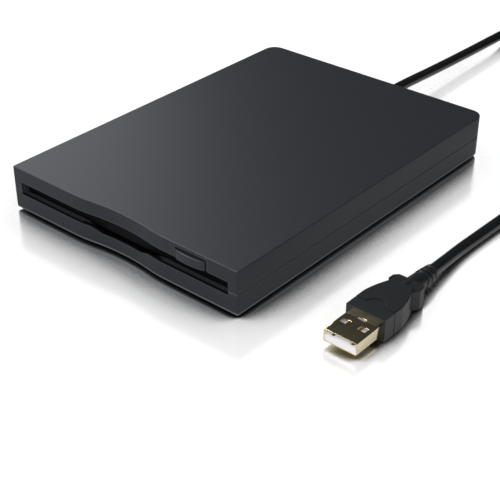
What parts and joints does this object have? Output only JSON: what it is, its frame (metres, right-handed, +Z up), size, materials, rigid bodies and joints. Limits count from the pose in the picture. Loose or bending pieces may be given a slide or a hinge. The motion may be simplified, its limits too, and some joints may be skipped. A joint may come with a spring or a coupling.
{
  "type": "external floppy disk drive",
  "caption": "Slim external drive for 3.5-inch disks: flat two-part housing with a scooped front, disk slot, eject button and a captive USB lead.",
  "frame": {"origin": "on the table, under the middle of the housing (the bounding box without the lead)", "axes": "+X to the right seen from the front, +Y from the disk slot to the rear, +Z up"},
  "size_m": [0.1437, 0.3005, 0.017],
  "materials": {
    "housing_abs": "fine-textured satin black ABS",
    "button_abs": "satin black ABS",
    "bezel_abs": "dull black moulded plastic",
    "flap_abs": "dull black moulded plastic",
    "foot_rubber": "matt black rubber",
    "zinc_screw": "zinc-plated steel",
    "lens_clear": "clear acrylic light guide",
    "galvanised_sheet": "galvanised steel sheet",
    "cradle_sheet": "bright zinc-plated steel sheet",
    "ground_steel": "ground and polished steel rod",
    "spring_steel": "spring steel wire",
    "board_green": "glass-fibre board with green solder mask",
    "sintered_bronze": "oil-soaked sintered bronze",
    "lamination_steel": "punched silicon steel laminations",
    "copper_winding": "enamelled copper wire",
    "nickel_cup": "nickel-plated pressed steel",
    "ferrite": "bonded ferrite magnet",
    "motor_can": "plated steel motor can",
    "acetal_white": "natural acetal",
    "acetal_black": "black acetal",
    "carriage_resin": "glass-filled black resin",
    "head_ceramic": "polished ferrite and ceramic slider",
    "chip_epoxy": "black epoxy package",
    "capacitor_can": "bare aluminium can",
    "crystal_steel": "bright nickel-plated can",
    "flex_film": "amber polyimide film",
    "connector_nylon": "natural nylon",
    "cord_pvc": "smooth satin black PVC",
    "grip_pvc": "satin black PVC",
    "gold_shell": "gold-plated folded steel",
    "insert_white": "white moulded plastic",
    "gold_contact": "gold-plated contact"
  },
  "bodies": {
    "housing": {"top_cover": "housing_abs", "bottom_cover": "housing_abs", "slot_bezel": "bezel_abs", "rubber_feet": "foot_rubber", "case_screws": "zinc_screw", "chassis_screws": "zinc_screw", "led_lens": "lens_clear", "chassis_deck": "galvanised_sheet", "drive_lid": "galvanised_sheet", "slide_springs": "spring_steel", "motor_board": "board_green", "spindle_bearing": "sintered_bronze", "stator_core": "lamination_steel", "stator_coils": "copper_winding", "guide_rod": "ground_steel", "rod_clips": "acetal_black", "motor_bracket": "galvanised_sheet", "stepper_motor": "motor_can", "lever_post": "ground_steel", "lever_spring": "spring_steel", "switch_bodies": "acetal_black", "main_board": "board_green", "board_chips": "chip_epoxy", "board_capacitors": "capacitor_can", "crystal_can": "crystal_steel", "head_flex": "flex_film", "flex_connector": "connector_nylon", "cord_grip": "grip_pvc", "inner_lead": "cord_pvc", "lead_connector": "connector_nylon", "lead_rear": "cord_pvc", "lead_front": "cord_pvc", "lead_coil": "cord_pvc", "plug_body": "grip_pvc", "plug_shell": "gold_shell", "plug_insert": "insert_white", "plug_contacts": "gold_contact"},
    "slide": {"slide_plate": "cradle_sheet", "eject_button": "button_abs"},
    "cradle": {"disk_cradle": "cradle_sheet", "cradle_pins": "ground_steel"},
    "flap": {"slot_flap": "flap_abs"},
    "spindle": {"spindle_rotor": "nickel_cup", "rotor_magnet": "ferrite", "spindle_hub": "ground_steel", "spindle_shaft": "ground_steel"},
    "carriage": {"head_carriage": "carriage_resin", "lower_head": "head_ceramic", "arm_pin": "ground_steel"},
    "arm": {"head_arm": "cradle_sheet", "upper_head": "head_ceramic"},
    "screw": {"lead_screw": "ground_steel"},
    "lever": {"shutter_lever": "acetal_black"},
    "write_protect": {"plunger_write_protect": "acetal_white"},
    "density": {"plunger_density": "acetal_white"},
    "disk_present": {"plunger_disk_present": "acetal_white"}
  },
  "joints": [
    {"name": "eject_slide", "type": "slide", "parent": "housing", "child": "slide", "axis": [0, -1, 0], "range_m": [0, 0.003], "deforming": ["slide_springs"]},
    {"name": "cradle_drop", "type": "slide", "parent": "housing", "child": "cradle", "axis": [0, 0, -1], "range_m": [0, 0.0018]},
    {"name": "flap_swing", "type": "hinge", "parent": "housing", "child": "flap", "pos_m": [0, -0.0674, 0.0123], "axis": [1, 0, 0], "range_deg": [0, 85], "stiffness_Nm_per_rad": 0.0001, "springref_deg": -28.65},
    {"name": "spindle_spin", "type": "hinge", "parent": "housing", "child": "spindle", "pos_m": [0, -0.02, 0.005], "axis": [0, 0, 1], "continuous": true},
    {"name": "carriage_travel", "type": "slide", "parent": "housing", "child": "carriage", "axis": [0, -1, 0], "range_m": [0, 0.0148], "deforming": ["head_flex"]},
    {"name": "screw_spin", "type": "hinge", "parent": "housing", "child": "screw", "pos_m": [-0.02, 0.038, 0.0081], "axis": [0, 1, 0], "range_deg": [0, 1780]},
    {"name": "arm_lower", "type": "hinge", "parent": "carriage", "child": "arm", "pos_m": [0, 0.05, 0.013], "axis": [1, 0, 0], "range_deg": [0, 7.6]},
    {"name": "lever_swing", "type": "hinge", "parent": "housing", "child": "lever", "pos_m": [0.041, 0.031, 0.0088], "axis": [0, 0, -1], "range_deg": [0, 26], "stiffness_Nm_per_rad": 0.002, "springref_deg": -17.19},
    {"name": "write_protect_press", "type": "slide", "parent": "housing", "child": "write_protect", "axis": [0, 0, -1], "range_m": [0, 0.0007], "stiffness_N_per_m": 80, "springref_m": -0.0003},
    {"name": "density_press", "type": "slide", "parent": "housing", "child": "density", "axis": [0, 0, -1], "range_m": [0, 0.0007], "stiffness_N_per_m": 80, "springref_m": -0.0003},
    {"name": "disk_present_press", "type": "slide", "parent": "housing", "child": "disk_present", "axis": [0, 0, -1], "range_m": [0, 0.0007], "stiffness_N_per_m": 80, "springref_m": -0.0003}
  ],
  "couplings": [
    {"joint": "cradle_drop", "follows": "eject_slide", "ratio": 0.6},
    {"joint": "arm_lower", "follows": "eject_slide", "rad_per_m": 44},
    {"joint": "screw_spin", "follows": "carriage_travel", "rad_per_m": 2094.4}
  ]
}
